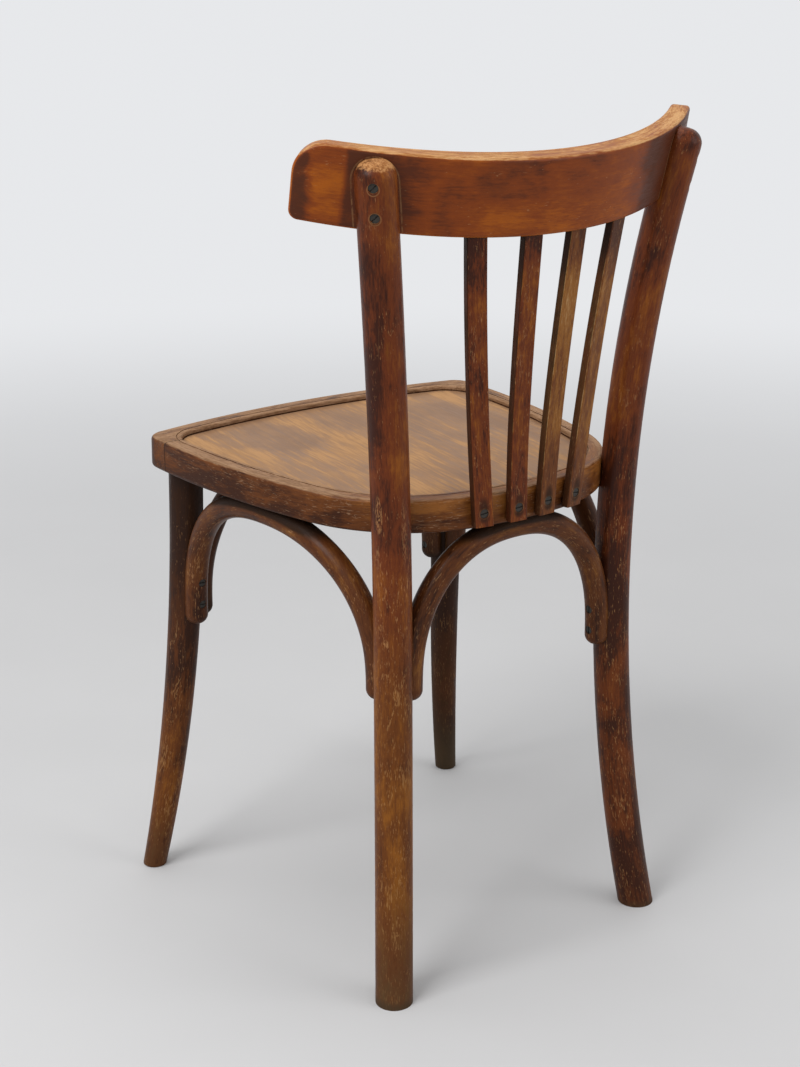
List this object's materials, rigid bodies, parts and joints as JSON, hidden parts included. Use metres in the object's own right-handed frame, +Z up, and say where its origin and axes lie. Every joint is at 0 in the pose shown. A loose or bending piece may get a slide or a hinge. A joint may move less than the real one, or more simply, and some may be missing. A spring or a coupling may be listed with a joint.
{
  "type": "bentwood chair",
  "caption": "Bentwood side chair with a flat seat in a bent frame, round bent legs, a curved crest rail over upright slats, and arched braces under the seat.",
  "frame": {"origin": "on the floor, on the chair's plane of symmetry, under the middle of the seat", "axes": "+Z up, -Y the way the sitter faces, +X to the sitter's left"},
  "size_m": [0.4385, 0.4118, 0.7706],
  "materials": {
    "crest_wood": "varnished, worn",
    "post_wood": "varnished, worn",
    "leg_wood": "varnished, worn",
    "slat_wood": "varnished, worn",
    "arch_wood": "varnished, worn",
    "frame_wood": "varnished, worn",
    "panel_wood": "worn to bare wood",
    "dowel_wood": "bare",
    "screw_steel": "blackened, dull"
  },
  "bodies": {
    "root": {"crest_rail": "crest_wood", "back_post_left": "post_wood", "back_post_right": "post_wood", "front_leg_left": "leg_wood", "front_leg_right": "leg_wood", "slat_outer_left": "slat_wood", "slat_outer_right": "slat_wood", "slat_inner_left": "slat_wood", "slat_inner_right": "slat_wood", "arch_rear": "arch_wood", "arch_front": "arch_wood", "arch_left": "arch_wood", "arch_right": "arch_wood", "seat_front_rail": "frame_wood", "seat_hoop": "frame_wood", "seat_panel": "panel_wood", "crest_screws": "screw_steel", "slat_screws": "screw_steel", "arch_top_screws": "screw_steel", "arch_end_screws": "screw_steel", "post_coach_screws": "screw_steel", "post_washers": "screw_steel", "joint_dowels": "dowel_wood"}
  },
  "joints": []
}
